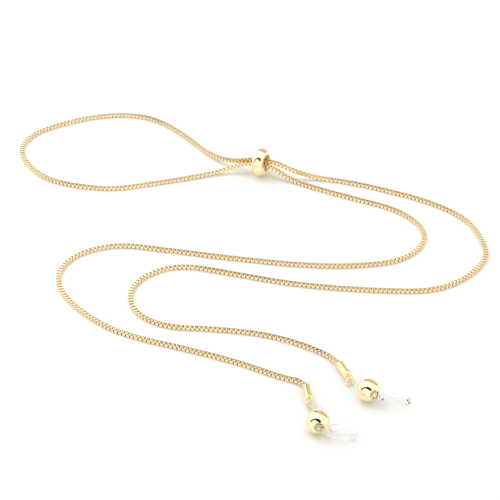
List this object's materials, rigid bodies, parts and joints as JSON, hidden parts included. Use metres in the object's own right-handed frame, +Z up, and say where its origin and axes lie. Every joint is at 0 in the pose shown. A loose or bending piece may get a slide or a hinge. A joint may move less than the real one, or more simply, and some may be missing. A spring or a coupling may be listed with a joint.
{
  "type": "eyeglasses chain strap",
  "caption": "Box-chain strap for eyeglasses, doubled through a slider ring, with a cap, jump ring, silicone temple loop and ball bead on each end.",
  "frame": {"origin": "on the table under the middle of the footprint of the slider and the two end fittings", "axes": "+Z up from the table, +X to the right along the temple loops, +Y from the temple loops towards the slider"},
  "size_m": [0.1371, 0.1551, 0.0085],
  "materials": {
    "chain_gold": "polished, warm gold plate",
    "polished_gold": "mirror-polished, pale gold plate",
    "clear_silicone": "clear, smooth, slightly frosted"
  },
  "bodies": {
    "chain": {"box_chain": "chain_gold", "crimp_cap_front": "polished_gold", "crimp_cap_rear": "polished_gold"},
    "slider": {"slider_shell": "polished_gold", "slider_grip": "clear_silicone"},
    "ring_front": {"jump_ring_front": "polished_gold"},
    "loop_front": {"temple_loop_front": "clear_silicone"},
    "bead_front": {"ball_bead_front": "polished_gold"},
    "ring_rear": {"jump_ring_rear": "polished_gold"},
    "loop_rear": {"temple_loop_rear": "clear_silicone"},
    "bead_rear": {"ball_bead_rear": "polished_gold"}
  },
  "joints": [
    {"name": "slider_slide", "type": "slide", "parent": "chain", "child": "slider", "axis": [0.9237, -0.3732, 0.0872], "range_m": [-0.003, 0.0015]},
    {"name": "ring_front_swing", "type": "hinge", "parent": "chain", "child": "ring_front", "pos_m": [-0.00523, -0.04927, 0.00215], "axis": [-0.9966, -0.0819, 0], "range_deg": [0, 100]},
    {"name": "loop_front_swing", "type": "hinge", "parent": "ring_front", "child": "loop_front", "pos_m": [-0.00389, -0.05008, 0.00104], "axis": [0.1101, 0.1477, 0.9829], "range_deg": [-35, 25]},
    {"name": "bead_front_slide", "type": "slide", "parent": "loop_front", "child": "bead_front", "axis": [0.055, -0.9678, 0.2456], "range_m": [-0.0027, 0]},
    {"name": "ring_rear_swing", "type": "hinge", "parent": "chain", "child": "ring_rear", "pos_m": [0.00522, -0.0401, 0.00215], "axis": [-0.9472, -0.3206, 0], "range_deg": [0, 100]},
    {"name": "loop_rear_swing", "type": "hinge", "parent": "ring_rear", "child": "loop_rear", "pos_m": [0.00657, -0.0405, 0.00175], "axis": [-0.4533, -0.028, 0.8909], "range_deg": [-35, 120]},
    {"name": "bead_rear_slide", "type": "slide", "parent": "loop_rear", "child": "bead_rear", "axis": [0.4711, -0.8587, 0.2018], "range_m": [-0.001, 0]}
  ]
}
